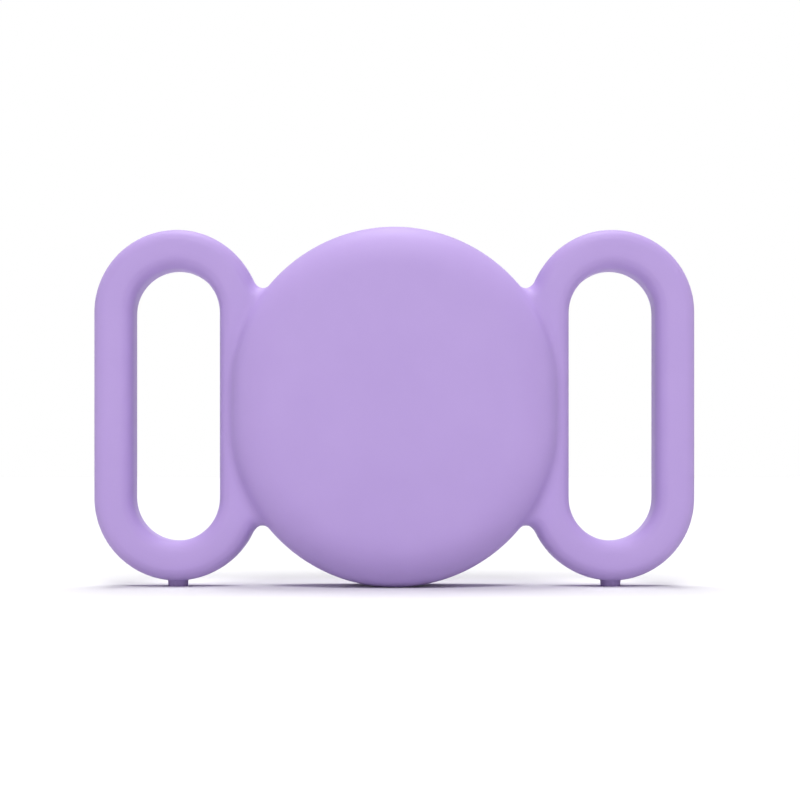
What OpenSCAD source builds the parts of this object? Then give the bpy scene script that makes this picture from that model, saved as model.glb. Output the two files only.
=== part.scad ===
// Strap-mounted holder for a coin-shaped tracking tag.
// One soft moulding carries the tag in a round pocket between two strap loops.
// The holder stands on its lower edge: the front faces -Y, the back +Y, and +Z is up.
// Depths named *_y are measured along Y, and depths inside the tag run from its front to its back.

/* [Tag] */
// Diameter of the tag
tag_d = 31.9; // [31:0.1:34]
// Bulge of the tag's front over its whole width
tag_crown = 0.6; // [0.2:0.1:0.9]
// Radius of the tag's front edge
tag_edge = 2.4; // [2:0.1:3]
// Radius of the tag's rear edge
rim_edge = 1.8; // [1:0.1:2]
// Side wall of the front cover
cover_wall = 1; // [0.8:0.05:1.2]
// Thickness of the front cover in its middle
cover_skin = 1.2; // [1:0.05:1.6]
// How deep the rear frame plugs into the front cover
spigot_h = 1.2; // [0.8:0.1:2]
// Wall of that plug
spigot_wall = 0.85; // [0.6:0.05:1]
// Gap between the plug and the cover
spigot_gap = 0.05; // [0.02:0.01:0.1]

/* [Pod] */
// Gap all round the tag in its pocket
tag_play = 0.15; // [0.1:0.05:0.2]
// Wall of the pod beside the pocket
side_wall = 1.3; // [1.2:0.1:2.5]
// Skin of the pod in front of the tag
front_skin = 1.8; // [1.6:0.1:3]
// Straight run between the pod's round top and bottom
pod_straight = 3.6; // [1:0.1:6]
// Bulge of the pod's front over its whole width
pod_crown = 0.5; // [0.2:0.1:1]
// Width of the pod's soft front edge, seen from the front
pod_edge_w = 5; // [3.5:0.1:6]
// Depth of the pod's soft front edge
pod_edge_d = 3.6; // [2:0.1:3.8]
// Radius of the pod's back edge
back_edge = 1.1; // [0.4:0.1:1.2]

/* [Rear lip] */
// Thickness of the lip that keeps the tag in
lip_t = 1.55; // [1:0.05:2.5]
// How far the lip reaches in over the tag's rim
lip_reach = 2.6; // [1.5:0.1:3.5]
// Radius of the lip's free edge
lip_edge = 0.5; // [0.2:0.05:0.7]

/* [Strap loops] */
// Height of each strap slot
slot_h = 29.1; // [22:0.1:33]
// Width of each strap slot
slot_w = 9.2; // [7:0.1:12]
// Land between the side of the pod and a slot
slot_land = 1.3; // [0.8:0.1:2]
// Width of the band round a slot, seen from the front
band_w = 4.25; // [3.6:0.05:5.5]
// Thickness of the loops from front to back
loop_t = 5.4; // [4:0.1:5.6]
// Rounding of the loops' edges
loop_edge = 1.5; // [0.6:0.1:1.6]
// How far the loops' face lies behind the middle of the pod's front
loop_set_back = 3.75; // [3:0.05:4.2]
// How far the middle of the loops lies above the middle of the pod
loop_rise = 0.24; // [0:0.02:0.6]
// Radius of the fillet in each notch between a loop and the pod
notch_fillet = 1.1; // [0.6:0.1:1.6]
// Diameter of the moulded pip under each loop
pip_d = 2.1; // [1.5:0.1:3]

/* [Coin cell] */
// Room between the edge of the battery door and the coin cell
cell_margin = 2.8; // [2.6:0.05:4]
// Thickness of the coin cell
cell_t = 3.2; // [2.5:0.1:3.4]
// Sheet of the cell's can and cap
cell_sheet = 0.25; // [0.2:0.05:0.3]
// How far the cap is smaller than the can, at each side
cap_inset = 1.1; // [0.9:0.1:1.4]
// How far the cap stands out of the can
cap_rise = 0.2; // [0.1:0.05:0.3]
// Thickness of the separator between the electrodes
separator_t = 0.1; // [0.05:0.05:0.2]

/* [Battery bay] */
// Gap round the cell
bay_gap = 0.25; // [0.22:0.01:0.4]
// Wall of the bay
bay_wall = 0.75; // [0.6:0.05:0.8]
// Floor of the bay
bay_floor_t = 0.6; // [0.4:0.05:0.8]
// Deck between the bay and the rim
deck_t = 0.6; // [0.4:0.05:0.8]
// Sheet of the battery contacts
leaf_t = 0.15; // [0.1:0.01:0.18]
// Width of a battery contact
leaf_w = 2.6; // [2:0.1:3.2]
// Gap between a contact and the cell
leaf_gap = 0.05; // [0.02:0.01:0.08]
// Gap between a contact and the window that it passes through
window_gap = 0.25; // [0.15:0.05:0.3]
// Diameter of the posts that carry the circuit board
post_d = 1.4; // [1:0.1:1.8]

/* [Battery door] */
// Width of the tag's rim outside the door
rim_w = 3.15; // [2.9:0.05:3.3]
// Bulge of the door
door_crown = 0.65; // [0.3:0.05:0.9]
// Room between the cell and the plane of the door's edge
door_room = 0.35; // [0.2:0.05:0.6]
// How far the door's edge stands proud of the rim
door_proud = 0.1; // [0:0.02:0.2]
// Sheet of the door
door_sheet = 0.3; // [0.2:0.02:0.4]
// Height of the door's turned edge
hem_h = 0.4; // [0.34:0.02:0.6]
// Gap between the door and the recess round it
door_gap = 0.15; // [0.1:0.01:0.25]
// Gap between the turning door and the catches
turn_gap = 0.1; // [0.06:0.01:0.15]
// Thickness of the catches
catch_t = 0.3; // [0.25:0.05:0.5]
// How far the catches reach over the lugs
catch_reach = 0.6; // [0.4:0.05:0.8]
// Wall of the liner inside the door
liner_wall = 0.75; // [0.6:0.05:0.9]
// Gap between the liner and the catches
liner_gap = 0.2; // [0.15:0.01:0.25]
// Thickness of the lugs
lug_t = 0.5; // [0.4:0.05:0.7]
// Gaps above and below the lugs
lug_gap = 0.05; // [0.04:0.01:0.08]
// Number of lugs
lug_count = 3; // [2:1:4]
// Turn that frees the lugs, in degrees
door_turn = 20; // [18:1:24]
// Thickness of the bay's seal
seal_t = 0.25; // [0.15:0.05:0.4]
// Diameter of the foam pad between the door and the cell
pad_d = 8; // [5:0.5:12]

/* [Circuit board] */
// Thickness of the board
board_t = 0.7; // [0.6:0.1:1]
// Room for the parts between the cover and the board
parts_room = 0.8; // [0.7:0.05:1.2]
// Gap between the edge of the board and the cover
board_edge_gap = 0.75; // [0.6:0.05:1.2]
// Room between the board and the bay
board_room = 0.3; // [0.25:0.05:0.5]
// Height of the parts on the board
part_h = 0.6; // [0.4:0.05:0.65]
// Sheet of the shield can
shield_sheet = 0.15; // [0.1:0.05:0.2]
// Width of the shield can, as a share of the room between the yoke and the antenna carrier
shield_width_share = 0.7; // [0.4:0.01:0.72]
// Length of the shield can, as a share of its distance from the tag's axis
shield_length_share = 0.68; // [0.4:0.01:0.7]
// Side of a chip, as a share of its distance from the tag's axis
chip_share = 0.27; // [0.15:0.01:0.3]
// Length of a capacitor, as a share of the chips' distance
capacitor_length_share = 0.115; // [0.08:0.005:0.13]
// Width of a capacitor, as a share of the chips' distance
capacitor_width_share = 0.06; // [0.04:0.005:0.07]

/* [Antenna] */
// Width of the antenna carrier, as a share of the tag's radius
carrier_share = 0.15; // [0.12:0.01:0.17]
// Gap between the edge of the carrier and the edge of the board
carrier_inset = 0.8; // [0.7:0.05:1]
// Gap between the antenna and the cover
antenna_gap = 0.07; // [0.05:0.01:0.1]
// Thickness of the antenna
antenna_t = 0.08; // [0.05:0.01:0.1]
// Width of the antenna
antenna_w = 0.7; // [0.4:0.1:1]

/* [Speaker] */
// Diameter of the yoke, as a share of the tag's
yoke_share = 0.39; // [0.36:0.01:0.41]
// Diameter of the magnet, as a share of the yoke's
magnet_share = 0.58; // [0.5:0.01:0.6]
// Wall of the yoke
yoke_wall = 0.5; // [0.4:0.05:0.6]
// Base of the yoke
yoke_base = 0.4; // [0.3:0.05:0.5]
// Gap between the yoke and the board
yoke_gap = 0.4; // [0.2:0.05:0.5]
// Gap between the magnet and the cover
magnet_gap = 0.3; // [0.2:0.05:0.5]
// Inner and outer gaps of the voice coil
coil_gap = 0.45; // [0.35:0.05:0.6]
// Height of the voice coil
coil_h = 0.8; // [0.5:0.05:0.9]

/* [Hidden] */
$fn = 96;
crown_steps = 4;
edge_steps = 12;
corner_steps = 6;
// Overrun of every cut past the face that it opens
cut = 0.5;
tag_r = tag_d / 2;

// Depths in the tag, from the middle of its front
board_front = cover_skin + parts_room;
board_back = board_front + board_t;
floor_front = board_back + board_room;
floor_back = floor_front + bay_floor_t;
cell_front = floor_back + leaf_t + leaf_gap;
cell_back = cell_front + cell_t;
door_edge = cell_back + door_room;
tag_t = door_edge + door_crown;
rim_back = door_edge - door_proud;
rim_front = rim_back - rim_edge;
hem_front = door_edge - hem_h;
catch_back = hem_front - turn_gap;
catch_front = catch_back - catch_t;
lug_back = catch_front - lug_gap;
lug_front = lug_back - lug_t;
seal_back = lug_front - lug_gap;
deck_back = seal_back - seal_t;
deck_front = deck_back - deck_t;
can_front = cell_front + cap_rise;

// Radii in the tag
yoke_r = yoke_share * tag_r;
magnet_r = magnet_share * yoke_r;
cover_bore_r = tag_r - cover_wall;
spigot_r = cover_bore_r - spigot_gap;
door_r = tag_r - rim_w;
recess_r = door_r + door_gap;
groove_r = door_r - door_gap;
catch_r = groove_r - catch_reach;
lug_r = groove_r - door_gap;
liner_r = catch_r - liner_gap;
liner_bore_r = liner_r - liner_wall;
cell_r = door_r - cell_margin;
bay_r = cell_r + bay_gap;
bay_out_r = bay_r + bay_wall;
cap_r = cell_r - cap_inset;
board_r = cover_bore_r - board_edge_gap;
board_bore_r = yoke_r + yoke_gap;
carrier_r = board_r - carrier_inset;
carrier_bore_r = carrier_r - carrier_share * tag_r;
post_ring_r = (bay_out_r + spigot_r - spigot_wall) / 2;
// Place of the negative contact's leg
leg_r = board_bore_r + leaf_w / 2;

// Parts on the board, in the band between the yoke and the antenna carrier
parts_band = carrier_bore_r - board_bore_r;
parts_r = board_bore_r + parts_band / 2;
shield_l = shield_length_share * parts_r;
shield_w = shield_width_share * parts_band;
chip_w = chip_share * parts_r;
capacitor_l = capacitor_length_share * parts_r;
capacitor_w = capacitor_width_share * parts_r;

// Bayonet, in degrees
lug_arc = 18;
lug_slack = 1;
lug_pitch = 360 / lug_count;

// Headings on the board, in degrees
shield_heading = 70;
chip_heading = 170;
chip_step = 40;
chip_count = 5;
post_heading = 60;
post_count = 3;
strip_count = 3;

// Pod
pocket_r = tag_r + tag_play;
pod_r = pocket_r + side_wall;
pod_h = pod_straight + 2 * pod_r;
pod_z = pod_h / 2;
pocket_d = rim_back + 2 * tag_play;
pod_d = front_skin + pocket_d + lip_t;
pod_front_y = -pod_d / 2;
pod_back_y = pod_d / 2;
pocket_y = pod_front_y + front_skin;
tag_y = pocket_y + tag_play;
back_round = min(back_edge, side_wall);
mouth_r = pocket_r - lip_reach;

// Loops
slot_r = slot_w / 2;
loop_r = slot_r + band_w;
loop_straight = slot_h - slot_w;
loop_x = pod_r + slot_land + slot_r;
loop_z = pod_z + loop_rise;
loop_y = pod_front_y + loop_set_back;

// Curves, as points of a half section: distance from the axis, then depth

// Depth at r of a front that bulges by crown and falls away over its edge
function front_depth(r, radius, crown, edge_w, edge_d) =
    let (u = min(1, max(0, (r - radius) / edge_w + 1)))
    crown * pow(r / radius, 2) + edge_d * (1 - sqrt(1 - u * u));

// Such a front from its axis to its side
function front_curve(radius, crown, edge_w, edge_d, start) = [
    for (i = [0:crown_steps + edge_steps])
        let (
            turn = 90 * (i - crown_steps) / edge_steps,
            flat_r = radius - edge_w,
            r = i < crown_steps ? flat_r * i / crown_steps : flat_r + edge_w * sin(turn)
        )
        [r, start + front_depth(r, radius, crown, edge_w, edge_d)]
];

// Quarter round from one heading to another
function corner(centre, radius, from, to) = [
    for (i = [0:corner_steps])
        let (a = from + (to - from) * i / corner_steps)
        centre + radius * [cos(a), sin(a)]
];

// Shallow dome from its axis out to a radius
function dome(radius, span, crown, top) = [
    for (i = [0:edge_steps])
        let (r = radius * i / edge_steps)
        [r, top - crown * pow(r / span, 2)]
];

// Placing

// Stands a turned shape up, so that its axis runs from front to back
module stand(x, y, z) {
    translate([x, y, z])
        rotate([-90, 0, 0])
            children();
}

// Puts a piece of the tag into the pocket
module in_tag() {
    stand(0, tag_y, pod_z)
        children();
}

// Ring between two radii and two depths
module ring(outer, bore, from, to) {
    translate([0, 0, from])
        difference() {
            cylinder(h = to - from, r = outer);
            if (bore > 0)
                translate([0, 0, -cut])
                    cylinder(h = to - from + 2 * cut, r = bore);
        }
}

// Part of a ring between two headings
module sector(outer, bore, from, to, start, end) {
    rotate([0, 0, start])
        rotate_extrude(angle = end - start)
            translate([bore, from])
                square([outer - bore, to - from]);
}

// Half section swept round an oval, which has half turns at its ends and straight runs between
module oval_sweep(section, straight) {
    for (side = [0, 180])
        rotate([0, 0, side]) {
            translate([0, straight / 2, 0])
                rotate_extrude(angle = 180)
                    polygon(section);
            rotate([90, 0, 0])
                linear_extrude(height = straight, center = true)
                    polygon(section);
        }
}

// Holder

// Half section of the pod
function pod_section() = concat(
    front_curve(pod_r, pod_crown, pod_edge_w, pod_edge_d, 0),
    corner([pod_r - back_round, pod_d - back_round], back_round, 0, 90),
    [[0, pod_d]]
);

// Section of the band round a slot
function band_section() =
    let (near = slot_r + loop_edge, far = loop_r - loop_edge, deep = loop_t - loop_edge)
    concat(
        corner([near, loop_edge], loop_edge, 180, 270),
        corner([far, loop_edge], loop_edge, 270, 360),
        corner([far, deep], loop_edge, 0, 90),
        corner([near, deep], loop_edge, 90, 180)
    );

// Half section of the cutter that leaves a notch with the same rounded edges as the band
function notch_section() =
    let (wide = notch_fillet + loop_edge, deep = loop_t - loop_edge)
    concat(
        [[0, -cut], [wide, -cut]],
        corner([wide, loop_edge], loop_edge, 270, 180),
        corner([wide, deep], loop_edge, 180, 90),
        [[wide, loop_t + cut], [0, loop_t + cut]]
    );

// Middle of a circle that touches two others from outside, on the given side of their line
function touching(a, ra, b, rb, r, side) =
    let (
        d = norm(b - a),
        u = (b - a) / d,
        along = (pow(ra + r, 2) - pow(rb + r, 2) + d * d) / (2 * d),
        off = sqrt(pow(ra + r, 2) - along * along)
    )
    a + along * u + side * off * [-u[1], u[0]];

// Point on the way from a to b
function toward(a, b, distance) = a + distance * (b - a) / norm(b - a);

// Web in the notch above or below the middle, between the left loop and the pod
module web(side) {
    loop_end = [-loop_x, loop_z + side * loop_straight / 2];
    pod_end = [0, pod_z + side * pod_straight / 2];
    notch = touching(loop_end, loop_r, pod_end, pod_r, notch_fillet, side);
    in_band = loop_r - band_w / 2;
    in_wall = pod_r - side_wall / 2;
    difference() {
        translate([0, loop_y + loop_t, 0])
            rotate([90, 0, 0])
                linear_extrude(height = loop_t)
                    polygon([
                        notch,
                        toward(loop_end, notch, in_band),
                        toward(loop_end, pod_end, in_band),
                        toward(pod_end, loop_end, in_wall),
                        toward(pod_end, notch, in_wall)
                    ]);
        stand(notch[0], loop_y, notch[1])
            rotate_extrude()
                polygon(notch_section());
    }
}

// Left loop with its webs and its pip
module left_loop() {
    stand(-loop_x, loop_y, loop_z)
        oval_sweep(band_section(), loop_straight);
    for (side = [-1, 1])
        web(side);
    translate([-loop_x, loop_y + loop_t / 2, 0])
        cylinder(h = loop_z - slot_h / 2 - band_w / 2, d = pip_d);
}

// Pocket for the tag, open at the back
module pocket() {
    edge = tag_edge + tag_play;
    stand(0, pocket_y, pod_z)
        rotate_extrude()
            polygon(concat(
                front_curve(pocket_r, tag_crown, edge, edge, 0),
                [[pocket_r, pod_d], [0, pod_d]]
            ));
}

module holder_body() {
    color([0.73, 0.63, 0.87])
        difference() {
            union() {
                stand(0, pod_front_y, pod_z)
                    oval_sweep(pod_section(), pod_straight);
                left_loop();
                mirror([1, 0, 0])
                    left_loop();
            }
            pocket();
        }
}

// Flexible lip that the tag is pushed in past, which follows the tag's rear edge
module rear_lip() {
    back = pocket_d + lip_t;
    hug = rim_edge + tag_play;
    color([0.69, 0.59, 0.84])
        stand(0, pocket_y, pod_z)
            rotate_extrude()
                polygon(concat(
                    corner([pocket_r - hug, pocket_d - hug], hug, 0, 90),
                    corner([mouth_r + lip_edge, pocket_d + lip_edge], lip_edge, 270, 180),
                    corner([mouth_r + lip_edge, back - lip_edge], lip_edge, 180, 90),
                    [[pocket_r, back]]
                ));
}

// Tag, front half

module front_cover() {
    edge = tag_edge - cover_wall;
    color([0.95, 0.95, 0.95])
        in_tag()
            difference() {
                rotate_extrude()
                    polygon(concat(
                        front_curve(tag_r, tag_crown, tag_edge, tag_edge, 0),
                        [[tag_r, rim_front], [0, rim_front]]
                    ));
                rotate_extrude()
                    polygon(concat(
                        front_curve(cover_bore_r, 0, edge, edge, cover_skin),
                        [[cover_bore_r, rim_front + cut], [0, rim_front + cut]]
                    ));
            }
}

module antenna_carrier() {
    color([0.25, 0.25, 0.27])
        in_tag()
            ring(carrier_r, carrier_bore_r, cover_skin + antenna_gap + antenna_t, board_front);
}

// Three plated arcs on the front of the carrier
module antenna_strips() {
    arc_share = 0.8;
    pitch = 360 / strip_count;
    middle = (carrier_r + carrier_bore_r) / 2;
    front = cover_skin + antenna_gap;
    color([0.85, 0.6, 0.35])
        in_tag()
            for (i = [0:strip_count - 1])
                sector(
                    middle + antenna_w / 2, middle - antenna_w / 2,
                    front, front + antenna_t,
                    i * pitch, (i + arc_share) * pitch
                );
}

module circuit_board() {
    color([0.1, 0.35, 0.2])
        in_tag()
            ring(board_r, board_bore_r, board_front, board_back);
}

// Block of a length and a width on the front of the board, at a heading and a distance from the axis
module board_block(heading, r, length, width, height) {
    rotate([0, 0, heading])
        translate([r - width / 2, -length / 2, board_front - height])
            cube([width, length, height]);
}

// Folded can over the radio, open towards the board
module shield_can() {
    room_l = shield_l - 2 * shield_sheet;
    room_w = shield_w - 2 * shield_sheet;
    color([0.75, 0.76, 0.78])
        in_tag()
            difference() {
                board_block(shield_heading, parts_r, shield_l, shield_w, part_h);
                translate([0, 0, shield_sheet])
                    board_block(shield_heading, parts_r, room_l, room_w, part_h);
            }
}

// Chips, with two capacitors between each chip and the next
module board_parts() {
    color([0.16, 0.16, 0.18])
        in_tag()
            for (i = [0:chip_count - 1]) {
                heading = chip_heading + i * chip_step;
                board_block(heading, parts_r, chip_w, chip_w, part_h);
                for (side = [-1, 1])
                    board_block(
                        heading + chip_step / 2, parts_r + side * capacitor_l,
                        capacitor_l, capacitor_w, part_h
                    );
            }
}

// Speaker

module voice_coil() {
    color([0.8, 0.45, 0.2])
        in_tag()
            ring(yoke_r - yoke_wall - coil_gap, magnet_r + coil_gap, cover_skin, cover_skin + coil_h);
}

module speaker_magnet() {
    color([0.6, 0.6, 0.62])
        in_tag()
            ring(magnet_r, 0, cover_skin + magnet_gap, floor_front - yoke_base);
}

module magnet_yoke() {
    color([0.68, 0.69, 0.7])
        in_tag()
            difference() {
                ring(yoke_r, 0, cover_skin + magnet_gap, floor_front);
                ring(yoke_r - yoke_wall, 0, cover_skin, floor_front - yoke_base);
            }
}

// Tag, rear half

// Space that the battery contacts take, grown by a gap
module contact_windows(gap) {
    for (side = [0, 180])
        rotate([0, 0, side])
            translate([0, cell_r + leaf_gap - gap, floor_front - cut])
                translate([-leaf_w / 2 - gap, 0, 0])
                    cube([leaf_w + 2 * gap, leaf_t + 2 * gap, deck_back - floor_front + 2 * cut]);
    translate([leg_r - gap, -leaf_w / 2 - gap, floor_front - cut])
        cube([leaf_t + 2 * gap, leaf_w + 2 * gap, bay_floor_t + 2 * cut]);
}

// Rim, bay and posts in one moulding, with the groove and the gates for the door's lugs
module rear_frame() {
    color([0.9, 0.9, 0.9])
        in_tag() {
            difference() {
                union() {
                    rotate_extrude()
                        polygon(concat(
                            [[catch_r, deck_front], [spigot_r, deck_front]],
                            [[spigot_r, rim_front]],
                            corner([tag_r - rim_edge, rim_front], rim_edge, 0, 90),
                            [[recess_r, rim_back], [recess_r, catch_back], [catch_r, catch_back]]
                        ));
                    ring(spigot_r, bay_r, deck_front, deck_back);
                    ring(spigot_r, spigot_r - spigot_wall, rim_front - spigot_h, rim_front);
                    ring(bay_out_r, bay_r, floor_front, deck_back);
                    ring(bay_out_r, 0, floor_front, floor_back);
                    for (i = [0:post_count - 1])
                        rotate([0, 0, post_heading + i * 360 / post_count])
                            translate([post_ring_r, 0, board_back])
                                cylinder(h = deck_back - board_back, d = post_d);
                }
                for (i = [0:lug_count - 1])
                    rotate([0, 0, i * lug_pitch]) {
                        reach = lug_arc / 2 + lug_slack;
                        gate = lug_arc / 2 + lug_slack / 2;
                        sector(groove_r, liner_r, deck_back, catch_front, -reach, door_turn + reach);
                        sector(groove_r, liner_r, lug_front, catch_back + cut, door_turn - gate, door_turn + gate);
                    }
                contact_windows(window_gap);
            }
        }
}

// Two side contacts, each with a foot on the board
module positive_contacts() {
    color([0.83, 0.7, 0.35])
        in_tag()
            for (side = [0, 180])
                rotate([0, 0, side])
                    translate([-leaf_w / 2, cell_r + leaf_gap, board_back]) {
                        cube([leaf_w, leaf_t, deck_front - board_back]);
                        translate([0, leaf_t - leaf_w / 2, 0])
                            cube([leaf_w, leaf_w / 2, leaf_t]);
                    }
}

// Middle contact, a strip under the cell with a leg down to the board
module negative_contact() {
    color([0.83, 0.7, 0.35])
        in_tag() {
            translate([-leaf_w, -leaf_w / 2, floor_back])
                cube([leg_r + leaf_w + leaf_t, leaf_w, leaf_t]);
            translate([leg_r, -leaf_w / 2, board_back])
                cube([leaf_t, leaf_w, floor_back + leaf_t - board_back]);
        }
}

module bay_seal() {
    color([0.2, 0.2, 0.22])
        in_tag()
            ring(liner_r, liner_bore_r, deck_back, seal_back);
}

// Coin cell, with its cap towards the contacts

module cell_can() {
    color([0.78, 0.79, 0.8])
        in_tag()
            rotate_extrude()
                polygon(concat(
                    [
                        [0, cell_back - cell_sheet],
                        [cell_r - cell_sheet, cell_back - cell_sheet],
                        [cell_r - cell_sheet, can_front],
                        [cell_r, can_front]
                    ],
                    corner([cell_r - cell_sheet, cell_back - cell_sheet], cell_sheet, 0, 90),
                    [[0, cell_back]]
                ));
}

module cell_cap() {
    color([0.72, 0.73, 0.74])
        in_tag()
            difference() {
                ring(cap_r, 0, cell_front, can_front + cell_sheet);
                ring(cap_r - cell_sheet, 0, cell_front + cell_sheet, can_front + cell_sheet + cut);
            }
}

module cell_gasket() {
    color([0.3, 0.3, 0.32])
        in_tag()
            ring(cell_r - cell_sheet, cap_r, can_front, can_front + 2 * cell_sheet);
}

// Negative disc, separator and positive pellet
module cell_electrodes() {
    disc_back = can_front + 2 * cell_sheet;
    pellet_front = disc_back + separator_t;
    color([0.4, 0.4, 0.42])
        in_tag() {
            ring(cap_r - cell_sheet, 0, cell_front + cell_sheet, disc_back);
            ring(cell_r - cell_sheet, 0, disc_back, pellet_front);
            ring(cell_r - 2 * cell_sheet, 0, pellet_front, cell_back - cell_sheet);
        }
}

// Battery door

// Half section of one face of the door's sheet, whose middle lies at the given depth
function door_face(top) = dome(door_r - door_sheet, door_r, door_crown, top);

// Room in front of the door's inner face
module under_door() {
    rotate_extrude()
        polygon(concat(
            door_face(tag_t - door_sheet),
            [[door_r - door_sheet, deck_back], [0, deck_back]]
        ));
}

// Domed cap of thin sheet with a turned edge
module door_shell() {
    inside = door_r - door_sheet;
    under = door_face(tag_t - door_sheet);
    color([0.8, 0.81, 0.82])
        in_tag()
            rotate_extrude()
                polygon(concat(
                    door_face(tag_t),
                    corner([inside, door_edge - door_sheet], door_sheet, 60, 0),
                    [[door_r, hem_front], [inside, hem_front]],
                    [for (i = [len(under) - 1:-1:0]) under[i]]
                ));
}

// Ring inside the door, with the lugs that turn under the catches
module door_liner() {
    color([0.85, 0.85, 0.86])
        in_tag() {
            intersection() {
                ring(liner_r, liner_bore_r, lug_front, tag_t);
                under_door();
            }
            for (i = [0:lug_count - 1])
                sector(
                    lug_r, liner_r - liner_wall / 2, lug_front, lug_back,
                    i * lug_pitch - lug_arc / 2, i * lug_pitch + lug_arc / 2
                );
        }
}

// Foam disc that steadies the cell
module door_pad() {
    color([0.35, 0.35, 0.36])
        in_tag()
            intersection() {
                ring(pad_d / 2, 0, cell_back + turn_gap, tag_t);
                under_door();
            }
}

holder_body();
rear_lip();
front_cover();
rear_frame();
antenna_carrier();
antenna_strips();
circuit_board();
shield_can();
board_parts();
voice_coil();
speaker_magnet();
magnet_yoke();
positive_contacts();
negative_contact();
bay_seal();
cell_can();
cell_cap();
cell_gasket();
cell_electrodes();
door_shell();
door_liner();
door_pad();
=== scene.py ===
import bmesh
import bpy
from math import atan2, cos, pi, radians, sin, sqrt, tau
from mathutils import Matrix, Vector


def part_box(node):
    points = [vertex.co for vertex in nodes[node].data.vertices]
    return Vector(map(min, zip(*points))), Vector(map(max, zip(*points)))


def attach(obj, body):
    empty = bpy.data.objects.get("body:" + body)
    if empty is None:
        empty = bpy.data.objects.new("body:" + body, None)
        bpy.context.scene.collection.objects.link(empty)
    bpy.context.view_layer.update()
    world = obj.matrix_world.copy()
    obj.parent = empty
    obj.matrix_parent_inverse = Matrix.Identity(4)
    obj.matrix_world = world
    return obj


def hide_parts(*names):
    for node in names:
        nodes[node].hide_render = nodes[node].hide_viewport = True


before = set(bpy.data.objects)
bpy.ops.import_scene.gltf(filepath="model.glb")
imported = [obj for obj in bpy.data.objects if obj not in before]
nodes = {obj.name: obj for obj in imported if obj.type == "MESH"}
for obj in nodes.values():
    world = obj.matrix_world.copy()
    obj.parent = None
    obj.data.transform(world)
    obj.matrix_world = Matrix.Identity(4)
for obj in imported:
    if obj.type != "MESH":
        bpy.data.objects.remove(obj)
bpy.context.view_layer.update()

mm = 0.001
bodyLow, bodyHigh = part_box("holder_body")
print("frame loaded:", len(nodes), "nodes")


# small helpers

def addNode(tree, kind, inputs=None, **settings):
    # inputs holds values or the sockets that they come from
    made = tree.nodes.new(kind)
    for name, value in settings.items():
        setattr(made, name, value)
    for name, value in (inputs or {}).items():
        if isinstance(value, bpy.types.NodeSocket):
            tree.links.new(value, made.inputs[name])
        else:
            made.inputs[name].default_value = value
    return made


def maths(tree, operation, a, b=0.0):
    return addNode(tree, "ShaderNodeMath", {0: a, 1: b}, operation=operation).outputs[0]


def plus(tree, a, b):
    return maths(tree, "ADD", a, b)


def minus(tree, a, b):
    return maths(tree, "SUBTRACT", a, b)


def times(tree, a, b):
    return maths(tree, "MULTIPLY", a, b)


def over(tree, a, b):
    return maths(tree, "DIVIDE", a, b)


def vector(tree, **parts):
    return addNode(tree, "ShaderNodeCombineXYZ", parts).outputs[0]


def joined(tree, *geometry):
    join = tree.nodes.new("GeometryNodeJoinGeometry")
    for socket in geometry:
        tree.links.new(socket, join.inputs[0])
    return join.outputs[0]


def moved(tree, geometry, shift=(0, 0, 0), turn=(0, 0, 0), size=(1, 1, 1)):
    inputs = {"Geometry": geometry, "Translation": shift, "Rotation": turn, "Scale": size}
    return addNode(tree, "GeometryNodeTransform", inputs).outputs[0]


def newTree(name, sizes):
    # a Geometry Nodes tree with one named input for each size
    tree = bpy.data.node_groups.new(name, "GeometryNodeTree")
    tree.interface.new_socket("Geometry", in_out="OUTPUT", socket_type="NodeSocketGeometry")
    for label, value in sizes.items():
        kind = "NodeSocketInt" if isinstance(value, int) else "NodeSocketFloat"
        tree.interface.new_socket(label, in_out="INPUT", socket_type=kind)
    return tree, tree.nodes.new("NodeGroupInput").outputs


def runTree(name, tree, sizes):
    # an object with the tree as its modifier, inputs set by identifier before it is evaluated
    made = bpy.data.objects.new(name, bpy.data.meshes.new(name))
    modifier = made.modifiers.new("shape", "NODES")
    modifier.node_group = tree
    for item in tree.interface.items_tree:
        if item.in_out == "INPUT":
            modifier[item.identifier] = sizes[item.name]
    bpy.context.scene.collection.objects.link(made)
    return made


def makePlain(piece):
    # the result of the modifiers becomes a plain mesh, and they go
    bpy.context.view_layer.update()
    evaluated = piece.evaluated_get(bpy.context.evaluated_depsgraph_get())
    mesh = bpy.data.meshes.new_from_object(evaluated)
    piece.modifiers.clear()
    piece.data = mesh
    mesh.name = piece.name


smallestRing = 1e-9            # a ring with a smaller radius is a point on the axis


def lathe(name, section, steps, centre):
    # section holds (radius, depth) from the axis to the axis; depth runs along +Y from the centre
    work = bmesh.new()
    rings = []
    for radius, depth in section:
        if radius < smallestRing:
            rings.append([work.verts.new((0, depth, 0))])
            continue
        rings.append([
            work.verts.new((radius * cos(tau * i / steps), depth, radius * sin(tau * i / steps)))
            for i in range(steps)
        ])
    for near, far in zip(rings, rings[1:]):
        for i in range(steps):
            j = (i + 1) % steps
            corners = [near[i % len(near)], near[j % len(near)], far[j % len(far)], far[i % len(far)]]
            corners = list(dict.fromkeys(corners))
            if len(corners) > 2:
                work.faces.new(corners)
    bmesh.ops.recalc_face_normals(work, faces=work.faces)
    bmesh.ops.translate(work, verts=work.verts, vec=centre)
    mesh = bpy.data.meshes.new(name)
    work.to_mesh(mesh)
    work.free()
    made = bpy.data.objects.new(name, mesh)
    bpy.context.scene.collection.objects.link(made)
    return made


def arcPoints(centre, radius, start, end, steps):
    # points of an arc in (radius, depth), headings in degrees
    headings = [radians(start + (end - start) * i / steps) for i in range(steps + 1)]
    return [(centre[0] + radius * cos(a), centre[1] + radius * sin(a)) for a in headings]


# materials

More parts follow.
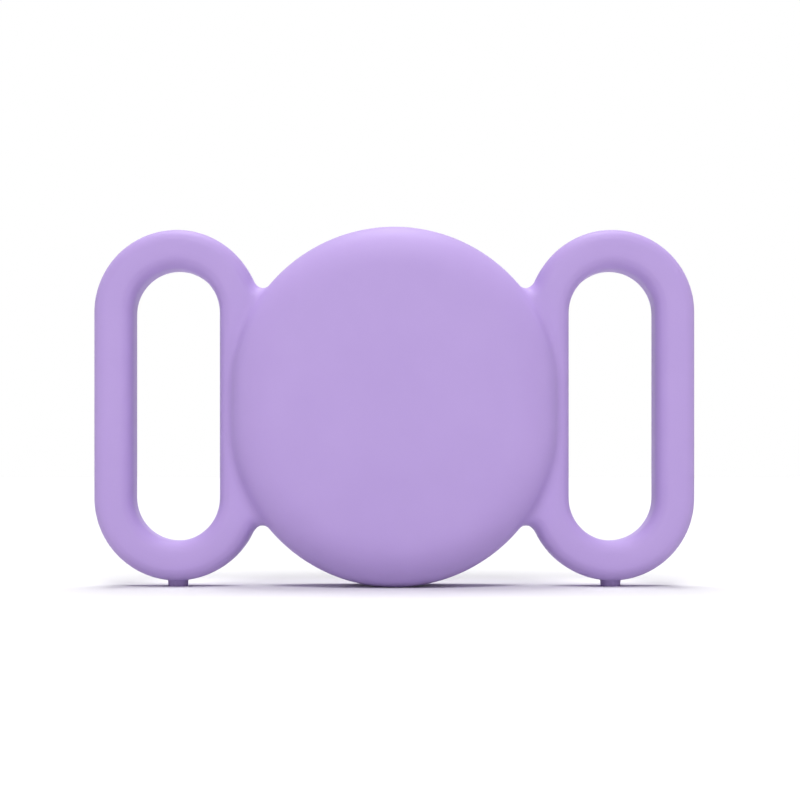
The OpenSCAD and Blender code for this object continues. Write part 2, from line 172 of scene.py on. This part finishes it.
noiseLook = {
    "toneStart": 0.3,          # shares of the noise between which the dark tone turns into the light one
    "toneEnd": 0.7,
    "cloudDetail": 3,
    "fineDetail": 2,
    "lineDetail": 4,
    "plasticCloud": 160,       # scales are per metre
    "plasticFine": 4200,
    "metalCloud": 140,
    "metalLines": 900,
}


def newMaterial(name, **shader):
    # a material with a Principled shader, whose plain sockets are set by name
    made = bpy.data.materials.new(name)
    made.use_nodes = True
    principled = made.node_tree.nodes["Principled BSDF"]
    for label, value in shader.items():
        principled.inputs[label].default_value = value
    return made, made.node_tree, principled


def grain(tree, scale, detail, stretch=(1, 1, 1)):
    # noise on object coordinates, so that it stays on the piece
    place = tree.nodes.new("ShaderNodeTexCoord").outputs["Object"]
    placed = addNode(tree, "ShaderNodeMapping", {"Vector": place, "Scale": stretch}).outputs[0]
    noise = {"Vector": placed, "Scale": scale, "Detail": detail}
    return addNode(tree, "ShaderNodeTexNoise", noise).outputs["Fac"]


def between(tree, factor, low, high, start=0.0, end=1.0):
    inputs = {"Value": factor, "From Min": start, "From Max": end, "To Min": low, "To Max": high}
    return addNode(tree, "ShaderNodeMapRange", inputs).outputs["Result"]


def tint(tree, factor, dark, light):
    ramp = tree.nodes.new("ShaderNodeValToRGB")
    first, last = ramp.color_ramp.elements
    first.position = noiseLook["toneStart"]
    last.position = noiseLook["toneEnd"]
    first.color = (*dark, 1)
    last.color = (*light, 1)
    tree.links.new(factor, ramp.inputs[0])
    return ramp.outputs[0]


def relief(tree, shader, height, distance):
    bump = addNode(tree, "ShaderNodeBump", {"Height": height, "Distance": distance, "Strength": 1.0})
    tree.links.new(bump.outputs[0], shader.inputs["Normal"])


siliconeLook = {
    "dark": (0.494, 0.356, 0.736),
    "light": (0.513, 0.371, 0.755),
    "roughness": (0.46, 0.54),
    "specular": 0.26,
    "glow": 0.08,              # light that goes a little way into the rubber
    "glowColour": (1.0, 0.8, 1.0),
    "glowReach": 0.5 * mm,
    "grainScale": 5200,        # per metre: the fine blasted finish of the mould
    "grainDepth": 0.004 * mm,
    "cloudScale": 120,         # slow changes of tone across a face
}


def makeSilicone():
    look = siliconeLook
    made, tree, shader = newMaterial("lilacSilicone", **{
        "Specular IOR Level": look["specular"],
        "Subsurface Weight": look["glow"],
        "Subsurface Radius": look["glowColour"],
        "Subsurface Scale": look["glowReach"],
    })
    cloud = grain(tree, look["cloudScale"], noiseLook["cloudDetail"])
    fine = grain(tree, look["grainScale"], noiseLook["cloudDetail"])
    tree.links.new(tint(tree, cloud, look["dark"], look["light"]), shader.inputs["Base Color"])
    tree.links.new(between(tree, fine, *look["roughness"]), shader.inputs["Roughness"])
    relief(tree, shader, fine, look["grainDepth"])
    return made


def makePlastic(name, dark, light, roughness, grainDepth, specular=0.5):
    made, tree, shader = newMaterial(name, **{"Specular IOR Level": specular})
    cloud = grain(tree, noiseLook["plasticCloud"], noiseLook["cloudDetail"])
    fine = grain(tree, noiseLook["plasticFine"], noiseLook["fineDetail"])
    tree.links.new(tint(tree, cloud, dark, light), shader.inputs["Base Color"])
    tree.links.new(between(tree, cloud, *roughness), shader.inputs["Roughness"])
    relief(tree, shader, fine, grainDepth)
    return made


def makeMetal(name, dark, light, roughness, grainDepth, stretch=(1, 1, 1), lineScale=noiseLook["metalLines"]):
    # stretch squeezes the grain along an axis, which draws it out across it, as brushing does
    made, tree, shader = newMaterial(name, Metallic=1.0)
    lines = grain(tree, lineScale, noiseLook["lineDetail"], stretch)
    cloud = grain(tree, noiseLook["metalCloud"], noiseLook["cloudDetail"])
    tree.links.new(tint(tree, lines, dark, light), shader.inputs["Base Color"])
    tree.links.new(between(tree, cloud, *roughness), shader.inputs["Roughness"])
    relief(tree, shader, lines, grainDepth)
    return made


plastics = {
    "front_cover": {
        "name": "whiteCover", "dark": (0.80, 0.80, 0.80), "light": (0.84, 0.84, 0.84),
        "roughness": (0.16, 0.24), "grainDepth": 0.0006 * mm,
    },
    "rear_frame": {
        "name": "paleFrame", "dark": (0.70, 0.70, 0.70), "light": (0.75, 0.75, 0.755),
        "roughness": (0.38, 0.48), "grainDepth": 0.002 * mm,
    },
    "antenna_carrier": {
        "name": "blackCarrier", "dark": (0.04, 0.04, 0.042), "light": (0.055, 0.055, 0.058),
        "roughness": (0.5, 0.62), "grainDepth": 0.003 * mm,
    },
    "circuit_board": {
        "name": "boardLaminate", "dark": (0.012, 0.075, 0.035), "light": (0.02, 0.1, 0.05),
        "roughness": (0.3, 0.42), "grainDepth": 0.003 * mm,
    },
    "board_parts": {
        "name": "chipResin", "dark": (0.015, 0.015, 0.017), "light": (0.028, 0.028, 0.03),
        "roughness": (0.42, 0.6), "grainDepth": 0.003 * mm,
    },
    "bay_seal": {
        "name": "sealRubber", "dark": (0.02, 0.02, 0.022), "light": (0.032, 0.032, 0.034),
        "roughness": (0.6, 0.74), "grainDepth": 0.004 * mm, "specular": 0.3,
    },
    "cell_gasket": {
        "name": "gasketPlastic", "dark": (0.04, 0.04, 0.042), "light": (0.055, 0.055, 0.058),
        "roughness": (0.5, 0.6), "grainDepth": 0.003 * mm,
    },
    "cell_electrodes": {
        "name": "electrodeMix", "dark": (0.06, 0.06, 0.065), "light": (0.09, 0.09, 0.1),
        "roughness": (0.7, 0.85), "grainDepth": 0.01 * mm, "specular": 0.3,
    },
    "door_liner": {
        "name": "linerPlastic", "dark": (0.66, 0.66, 0.68), "light": (0.72, 0.72, 0.74),
        "roughness": (0.4, 0.5), "grainDepth": 0.002 * mm,
    },
    "door_pad": {
        "name": "padFoam", "dark": (0.045, 0.045, 0.05), "light": (0.07, 0.07, 0.075),
        "roughness": (0.8, 0.92), "grainDepth": 0.02 * mm, "specular": 0.2,
    },
}
metals = {
    "antenna_strips": {
        "name": "copperPlating", "dark": (0.62, 0.33, 0.16), "light": (0.74, 0.43, 0.22),
        "roughness": (0.28, 0.4), "grainDepth": 0.001 * mm,
    },
    "shield_can": {
        "name": "tinnedSteel", "dark": (0.5, 0.5, 0.52), "light": (0.62, 0.62, 0.64),
        "roughness": (0.3, 0.42), "grainDepth": 0.001 * mm, "stretch": (6, 1, 1),
    },
    "voice_coil": {
        "name": "coilWire", "dark": (0.45, 0.17, 0.06), "light": (0.66, 0.28, 0.12),
        "roughness": (0.22, 0.36), "grainDepth": 0.004 * mm, "stretch": (1, 30, 1),
    },
    "speaker_magnet": {
        "name": "nickelPlating", "dark": (0.52, 0.52, 0.52), "light": (0.6, 0.6, 0.6),
        "roughness": (0.12, 0.22), "grainDepth": 0.0006 * mm,
    },
    "magnet_yoke": {
        "name": "yokeSteel", "dark": (0.42, 0.42, 0.44), "light": (0.52, 0.52, 0.54),
        "roughness": (0.3, 0.42), "grainDepth": 0.001 * mm,
    },
    "positive_contacts": {
        "name": "goldPlating", "dark": (0.7, 0.5, 0.17), "light": (0.8, 0.6, 0.25),
        "roughness": (0.22, 0.34), "grainDepth": 0.001 * mm, "stretch": (1, 6, 1),
    },
    "cell_can": {
        "name": "cellSteel", "dark": (0.54, 0.54, 0.56), "light": (0.66, 0.66, 0.68),
        "roughness": (0.24, 0.34), "grainDepth": 0.001 * mm, "stretch": (1, 1, 8),
    },
    "door_shell": {
        "name": "doorSteel", "dark": (0.55, 0.55, 0.57), "light": (0.66, 0.66, 0.68),
        "roughness": (0.24, 0.32), "grainDepth": 0.0008 * mm, "stretch": (1, 1, 24), "lineScale": 700,
    },
}

silicone = makeSilicone()
materials = {node: makePlastic(**look) for node, look in plastics.items()}
materials.update({node: makeMetal(**look) for node, look in metals.items()})
materials["negative_contact"] = materials["positive_contacts"]
materials["cell_cap"] = materials["cell_can"]
for node, material in materials.items():
    nodes[node].data.materials.clear()
    nodes[node].data.materials.append(material)
print("materials made:", len(bpy.data.materials))


# the moulding: pod, two strap loops, webs and pips in one piece

moulding = {
    "Pod Radius": 17.4 * mm,
    "Pod Straight": 3.6 * mm,
    "Pod Depth": bodyHigh.y - bodyLow.y,
    "Pod Crown": 0.5 * mm,
    "Edge Width": 5.0 * mm,
    "Edge Depth": 3.6 * mm,
    "Back Edge": 1.1 * mm,
    "Slot Height": 29.1 * mm,
    "Slot Width": 9.2 * mm,
    "Band Width": 4.25 * mm,
    "Band Depth": 5.4 * mm,
    "Band Edge": 1.5 * mm,
    "Band Set Back": 1.0 * mm,     # middle of the band behind the middle of the pod
    "Loop Side": 23.3 * mm,        # middle of a loop beside the middle of the pod
    "Loop Rise": 0.24 * mm,
    "Notch Fillet": 1.1 * mm,
    "Pip Diameter": 2.1 * mm,
    "Pip Spread": 1.2,             # its foot in the band against its tip
    "Crease Fillet": 0.55 * mm,
    "Voxel": (0.3 * mm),
    "Round Steps": 160,
}
# how many steps each round form is made in
mouldingSteps = {
    "crown": 6,
    "edge": 28,
    "back": 10,
    "bandCorner": 10,
    "slotEnd": 64,
    "notch": 40,
    "pip": 48,
}
slotEndShare = 0.49999         # of the path's width: just under half, so that an end's corners don't meet
gridMargin = 2.0               # voxels that the distance grid reaches beyond the fillet
podMiddle = Vector((0, (bodyLow.y + bodyHigh.y) / 2, moulding["Pod Straight"] / 2 + moulding["Pod Radius"]))


def touchingPlace(side):
    # middle and tangent headings of the circle that fills the notch above (1) or below (-1) the left loop
    m = moulding
    loopRadius = m["Slot Width"] / 2 + m["Band Width"]
    run = (m["Slot Height"] - m["Slot Width"]) / 2
    loopEnd = Vector((-m["Loop Side"], m["Loop Rise"] + side * run))
    podEnd = Vector((0, side * m["Pod Straight"] / 2))
    reachLoop = loopRadius + m["Notch Fillet"]
    reachPod = m["Pod Radius"] + m["Notch Fillet"]
    gap = (podEnd - loopEnd).length
    along = (reachLoop ** 2 - reachPod ** 2 + gap ** 2) / (2 * gap)
    off = sqrt(reachLoop ** 2 - along ** 2)
    ahead = (podEnd - loopEnd) / gap
    notch = loopEnd + along * ahead + side * off * Vector((-ahead.y, ahead.x))
    toLoop = loopEnd - notch
    toPod = podEnd - notch
    start = atan2(toLoop.y, toLoop.x)
    sweep = atan2(toPod.y, toPod.x) - start
    sweep = (sweep + side * tau) % (side * tau)
    return notch, start, sweep


def mouldingTree():
    notches = {}
    for word, side in (("Upper", 1), ("Lower", -1)):
        notch, start, sweep = touchingPlace(side)
        notches.update({
            f"{word} Notch Side": notch.x, f"{word} Notch Height": notch.y,
            f"{word} Notch Start": start, f"{word} Notch Sweep": sweep,
        })
    sizes = {**moulding, **notches}
    steps = mouldingSteps
    tree, given = newTree("holderMoulding", sizes)

    # the whole is drawn lying on its back, front up, and stood up at the end
    halfDepth = over(tree, given["Pod Depth"], 2.0)
    index = tree.nodes.new("GeometryNodeInputIndex").outputs[0]
    circle = {"Vertices": given["Round Steps"], "Radius": 1.0}
    ring = addNode(tree, "GeometryNodeMeshCircle", circle).outputs[0]

    def rings(count, radius, depth):
        # circles stacked along the axis, each with its own radius and depth from the front
        place = vector(tree, Z=minus(tree, halfDepth, depth))
        spread = vector(tree, X=radius, Y=radius, Z=1.0)
        line = addNode(tree, "GeometryNodeMeshLine", {"Count": count}).outputs[0]
        line = addNode(tree, "GeometryNodeSetPosition", {"Geometry": line, "Position": place}).outputs[0]
        copies = {"Points": line, "Instance": ring, "Scale": spread}
        copies = addNode(tree, "GeometryNodeInstanceOnPoints", copies).outputs[0]
        return addNode(tree, "GeometryNodeRealizeInstances", {"Geometry": copies}).outputs[0]

    # front: a shallow crown, then a soft edge that falls away as a quarter of an ellipse
    edgeTurn = over(tree, minus(tree, index, steps["crown"]), steps["edge"])
    edgeTurn = times(tree, maths(tree, "MAXIMUM", edgeTurn, 0.0), pi / 2)
    flat = minus(tree, given["Pod Radius"], given["Edge Width"])
    inner = times(tree, flat, maths(tree, "MINIMUM", over(tree, index, steps["crown"]), 1.0))
    radius = plus(tree, inner, times(tree, given["Edge Width"], maths(tree, "SINE", edgeTurn)))
    share = maths(tree, "POWER", over(tree, radius, given["Pod Radius"]), 2.0)
    fall = minus(tree, 1.0, maths(tree, "COSINE", edgeTurn))
    depth = plus(tree, times(tree, given["Pod Crown"], share), times(tree, given["Edge Depth"], fall))
    front = rings(steps["crown"] + steps["edge"] + 1, radius, depth)

    # back: a plain round edge
    backTurn = times(tree, over(tree, index, steps["back"]), pi / 2)
    backIn = times(tree, given["Back Edge"], minus(tree, 1.0, maths(tree, "COSINE", backTurn)))
    backRise = times(tree, given["Back Edge"], minus(tree, 1.0, maths(tree, "SINE", backTurn)))
    radius = minus(tree, given["Pod Radius"], backIn)
    depth = minus(tree, given["Pod Depth"], backRise)
    back = rings(steps["back"] + 1, radius, depth)

    # the pod is the hull of the two round ends
    halfRun = over(tree, given["Pod Straight"], 2.0)
    end = joined(tree, front, back)
    ends = [moved(tree, end, vector(tree, Y=times(tree, halfRun, side))) for side in (-1.0, 1.0)]
    pod = addNode(tree, "GeometryNodeConvexHull", {"Geometry": joined(tree, *ends)}).outputs[0]

    # rounded section of the band, swept round each slot and round each notch
    def rounded(width, height, radius, count, **limit):
        shape = {"Width": width, "Height": height}
        shape = addNode(tree, "GeometryNodeCurvePrimitiveQuadrilateral", shape).outputs[0]
        corners = {"Curve": shape, "Radius": radius, "Count": count, **limit}
        return addNode(tree, "GeometryNodeFilletCurve", corners, mode="POLY").outputs[0]

    section = rounded(given["Band Width"], given["Band Depth"], given["Band Edge"], steps["bandCorner"])

    def swept(path):
        path = addNode(tree, "GeometryNodeSetCurveNormal", {"Curve": path}, mode="Z_UP").outputs[0]
        band = {"Curve": path, "Profile Curve": section, "Fill Caps": True}
        return addNode(tree, "GeometryNodeCurveToMesh", band).outputs[0]

    pathWidth = plus(tree, given["Slot Width"], given["Band Width"])
    pathHeight = plus(tree, given["Slot Height"], given["Band Width"])
    endRadius = times(tree, pathWidth, slotEndShare)
    slotPath = rounded(pathWidth, pathHeight, endRadius, steps["slotEnd"], **{"Limit Radius": True})
    bandHeight = times(tree, given["Band Set Back"], -1.0)
    loopSide = times(tree, given["Loop Side"], -1.0)
    loopPlace = vector(tree, X=loopSide, Y=given["Loop Rise"], Z=bandHeight)
    leftSide = [moved(tree, swept(slotPath), loopPlace)]

    arcRadius = plus(tree, given["Notch Fillet"], over(tree, given["Band Width"], 2.0))
    for word in ("Upper", "Lower"):
        arc = {
            "Resolution": steps["notch"],
            "Radius": arcRadius,
            "Start Angle": given[f"{word} Notch Start"],
            "Sweep Angle": given[f"{word} Notch Sweep"],
        }
        arc = addNode(tree, "GeometryNodeCurveArc", arc, mode="RADIUS").outputs[0]
        place = vector(tree, X=given[f"{word} Notch Side"], Y=given[f"{word} Notch Height"], Z=bandHeight)
        leftSide.append(moved(tree, swept(arc), place))

    # pip under each loop, from the floor up into the band
    loopReach = plus(tree, over(tree, given["Slot Height"], 2.0), over(tree, given["Band Width"], 2.0))
    bandMiddle = minus(tree, given["Loop Rise"], loopReach)
    floor = times(tree, plus(tree, halfRun, given["Pod Radius"]), -1.0)
    pipRadius = over(tree, given["Pip Diameter"], 2.0)
    pip = addNode(tree, "GeometryNodeMeshCone", {
        "Vertices": steps["pip"],
        "Side Segments": 1,
        "Fill Segments": 1,
        "Depth": minus(tree, bandMiddle, floor),
        "Radius Top": pipRadius,
        "Radius Bottom": times(tree, pipRadius, given["Pip Spread"]),
    }).outputs[0]
    pips = []
    for side in (1.0, -1.0):
        place = vector(tree, X=times(tree, loopSide, side), Y=bandMiddle, Z=bandHeight)
        pips.append(moved(tree, pip, place, turn=(pi / 2, 0, 0)))

    left = joined(tree, *leftSide)
    right = addNode(tree, "GeometryNodeFlipFaces", {"Mesh": moved(tree, left, size=(-1, 1, 1))}).outputs[0]

    # grown by the fillet and shrunk again on a distance grid, which rounds every inner crease
    def regrown(mesh, offset):
        band = maths(tree, "CEIL", over(tree, given["Crease Fillet"], given["Voxel"]))
        grid = {"Mesh": mesh, "Voxel Size": given["Voxel"], "Band Width": plus(tree, band, gridMargin)}
        grid = addNode(tree, "GeometryNodeMeshToSDFGrid", grid).outputs[0]
        return addNode(tree, "GeometryNodeGridToMesh", {"Grid": grid, "Threshold": offset}).outputs[0]

    grown = regrown(joined(tree, pod, left, right), given["Crease Fillet"])
    whole = regrown(grown, times(tree, given["Crease Fillet"], -1.0))
    union = addNode(tree, "GeometryNodeMeshBoolean", {}, operation="UNION", solver="MANIFOLD")
    for mesh in (whole, *pips):
        tree.links.new(mesh, union.inputs["Mesh 2"])

    whole = moved(tree, union.outputs["Mesh"], tuple(podMiddle), turn=(pi / 2, 0, 0))
    whole = addNode(tree, "GeometryNodeRealizeInstances", {"Geometry": whole}).outputs[0]
    whole = addNode(tree, "GeometryNodeSetMaterial", {"Geometry": whole, "Material": silicone}).outputs[0]
    out = tree.nodes.new("NodeGroupOutput")
    tree.links.new(whole, out.inputs[0])
    return tree, sizes


pocket = {
    "radius": 16.1 * mm,
    "front": 1.8 * mm,         # skin of the pod in front of the tag
    "crown": 0.6 * mm,
    "edge": 2.55 * mm,
    "depth": 7.55 * mm,
    "hug": 1.95 * mm,          # the lip follows the tag's rear edge
    "mouth": 13.5 * mm,
    "lip": 1.55 * mm,
    "lipEdge": 0.5 * mm,
    "edgeShift": 0.015 * mm,   # the lip's edge meets the flat back at a slight angle, which cuts clean
    "cutPast": 1 * mm,         # how far the cutter stands out of the back
    "ringWidth": 0.1 * mm,     # a point this near to the lip's rear edge belongs to its ring
    "ringDepth": 0.01 * mm,
}
# how many steps each round form is made in
pocketSteps = {
    "crown": 4,
    "edge": 16,
    "hug": 12,
    "lipFront": 8,
    "lipRear": 12,
    "turn": 160,
}


def pocketSection():
    # the cutter's outline, from the middle of the tag's front to the middle of the mouth
    p = pocket
    steps = pocketSteps

    def crown(radius):
        return p["crown"] * (radius / p["radius"]) ** 2

    flat = p["radius"] - p["edge"]
    section = [(0, 0)]
    for i in range(1, steps["crown"] + 1):
        radius = flat * i / steps["crown"]
        section.append((radius, crown(radius)))
    for i in range(1, steps["edge"] + 1):
        turn = pi / 2 * i / steps["edge"]
        radius = flat + p["edge"] * sin(turn)
        section.append((radius, crown(radius) + p["edge"] * (1 - cos(turn))))
    lipMiddle = p["mouth"] + p["lipEdge"]
    hugMiddle = (p["radius"] - p["hug"], p["depth"] - p["hug"])
    rearEdge = p["depth"] + p["lip"] - p["lipEdge"] + p["edgeShift"]
    section += arcPoints(hugMiddle, p["hug"], 0, 90, steps["hug"])
    section += arcPoints((lipMiddle, p["depth"] + p["lipEdge"]), p["lipEdge"], 270, 180, steps["lipFront"])
    section += arcPoints((lipMiddle, rearEdge), p["lipEdge"], 180, 90, steps["lipRear"])
    back = p["depth"] + p["lip"] + p["cutPast"]
    return section + [(lipMiddle, back), (0, back)]


def cutPocket(piece):
    floor = podMiddle + Vector((0, bodyLow.y - podMiddle.y + pocket["front"], 0))
    cutter = lathe("pocketCutter", pocketSection(), pocketSteps["turn"], floor)
    cut = piece.modifiers.new("pocket", "BOOLEAN")
    cut.operation = "DIFFERENCE"
    cut.solver = "MANIFOLD"
    cut.object = cutter
    makePlain(piece)
    bpy.data.objects.remove(cutter)


def sharpenMouth(piece):
    # the ring where the lip's round edge ends in the flat back, so that each side is shaded by itself
    axis = Vector((podMiddle.x, podMiddle.z))
    outermost = pocket["mouth"] + pocket["lipEdge"] + pocket["ringWidth"]
    lowest = bodyHigh.y - pocket["ringDepth"]

    def onRing(vertex):
        place = vertex.co
        return place.y > lowest and (Vector((place.x, place.z)) - axis).length < outermost

    ring = {vertex.index for vertex in piece.data.vertices if onRing(vertex)}
    for edge in piece.data.edges:
        edge.use_edge_sharp = edge.vertices[0] in ring and edge.vertices[1] in ring
    print("lip's rear ring:", len(ring), "points")


tree, sizes = mouldingTree()
holder = runTree("siliconeMoulding", tree, sizes)
cutPocket(holder)
holder.data.shade_smooth()
sharpenMouth(holder)
holder.data.materials.clear()
holder.data.materials.append(silicone)
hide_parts("holder_body", "rear_lip")
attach(holder, "holder")
print("moulding made:", len(holder.data.polygons), "faces")


# floor, backdrop and lights

studio = {
    "floorSize": 6.0,
    "floorSeen": (0.945, 0.945, 0.95),
    "floorBounce": (0.68, 0.67, 0.685),
    "floorGrain": 90,          # per metre
    "floorRoughness": 0.9,
    "floorTone": 1.01,         # the paper's light tone against its dark one
    "roomLight": 0.02,
    "rearGlow": 2.25,          # low and narrow, for the back of the holder
    "glowEdge": 0.84,          # how far to the rear a direction points where the glow starts
    "glowFull": 0.95,          # and where it is full
    # far lamps: irradiance, where each stands, and how wide it is in degrees
    "lamps": {
        "overhead": (2.0, (0, 0.25, 1), 34),
        "high": (1.5, (0, -0.56, 0.83), 28),
        "front": (1.16, (0, -1, 0.08), 34),
        "left": (0.33, (-1, -0.2, 0.10), 30),
        "right": (0.33, (1, -0.2, 0.10), 30),
    },
}


def directRays(tree):
    # rays from the camera, and those that a mirror or glass passes on
    rays = tree.nodes.new("ShaderNodeLightPath").outputs
    glossy = maths(tree, "MAXIMUM", rays["Is Glossy Ray"], rays["Is Transmission Ray"])
    return maths(tree, "MAXIMUM", rays["Is Camera Ray"], glossy)


def makeFloor():
    work = bmesh.new()
    bmesh.ops.create_grid(work, x_segments=1, y_segments=1, size=studio["floorSize"])
    mesh = bpy.data.meshes.new("studioFloor")
    work.to_mesh(mesh)
    work.free()
    floor = bpy.data.objects.new("studioFloor", mesh)
    bpy.context.scene.collection.objects.link(floor)
    paper = {"Roughness": studio["floorRoughness"], "Specular IOR Level": 0.0}
    made, tree, shader = newMaterial("floorPaper", **paper)
    fibres = grain(tree, studio["floorGrain"], noiseLook["cloudDetail"])
    light = tuple(c * studio["floorTone"] for c in studio["floorSeen"])
    seen = tint(tree, fibres, studio["floorSeen"], light)
    bounce = (*studio["floorBounce"], 1)
    colour = addNode(tree, "ShaderNodeMixRGB", {0: directRays(tree), 1: bounce, 2: seen}).outputs[0]
    tree.links.new(colour, shader.inputs["Base Color"])
    mesh.materials.append(made)


def makeWorld():
    world = bpy.data.worlds.new("softRoom")
    bpy.context.scene.world = world
    world.use_nodes = True
    tree = world.node_tree
    tree.nodes.clear()
    white = (1, 1, 1, 1)
    way = tree.nodes.new("ShaderNodeTexCoord").outputs["Generated"]
    way = addNode(tree, "ShaderNodeSeparateXYZ", {"Vector": way}).outputs
    rear = between(tree, way["Y"], 0.0, studio["rearGlow"], studio["glowEdge"], studio["glowFull"])
    strength = plus(tree, rear, studio["roomLight"])
    light = addNode(tree, "ShaderNodeBackground", {"Color": white, "Strength": strength}).outputs[0]
    seen = addNode(tree, "ShaderNodeBackground", {"Color": white, "Strength": 1.0}).outputs[0]
    mixed = addNode(tree, "ShaderNodeMixShader", {0: directRays(tree), 1: light, 2: seen}).outputs[0]
    addNode(tree, "ShaderNodeOutputWorld", {"Surface": mixed})


def makeLamps():
    for name, (strength, place, spread) in studio["lamps"].items():
        lamp = bpy.data.lights.new(name, "SUN")
        lamp.energy = strength
        lamp.angle = radians(spread)
        made = bpy.data.objects.new(name, lamp)
        made.rotation_euler = (-Vector(place)).to_track_quat("-Z", "Y").to_euler()
        bpy.context.scene.collection.objects.link(made)


makeFloor()
makeWorld()
makeLamps()
print("studio made")


# camera at the photograph's angle

photo = {
    "width": 800,
    "pixelsPerMm": 9.33,       # where the loops are widest
    "middleColumn": 394.3,
    "floorRow": 586.6,
    "distance": 190 * mm,      # from where the loops are widest
    "height": 12 * mm,         # above the floor
    "sensor": 36.0,
    "nearest": 0.01,           # what the camera sees lies between these two
    "farthest": 20,
}


def makeCamera():
    p = photo
    bandFront = moulding["Band Set Back"] - moulding["Band Depth"] / 2
    loopFront = podMiddle.y + bandFront + moulding["Band Edge"]
    focal = p["pixelsPerMm"] / mm * p["distance"]      # in pixels
    floorBelow = focal * p["height"] / p["distance"]   # pixels from the horizon to the floor
    data = bpy.data.cameras.new("photoCamera")
    data.sensor_width = p["sensor"]
    data.lens = focal * p["sensor"] / p["width"]
    data.clip_start = p["nearest"]
    data.clip_end = p["farthest"]
    data.shift_x = (p["width"] / 2 - p["middleColumn"]) / p["width"]
    data.shift_y = (p["floorRow"] - floorBelow - p["width"] / 2) / p["width"]
    camera = bpy.data.objects.new("photoCamera", data)
    camera.location = (0, loopFront - p["distance"], p["height"])
    camera.rotation_euler = (pi / 2, 0, 0)
    bpy.context.scene.collection.objects.link(camera)
    bpy.context.scene.camera = camera


makeCamera()
bpy.context.scene.view_settings.view_transform = "Standard"
print("camera made")
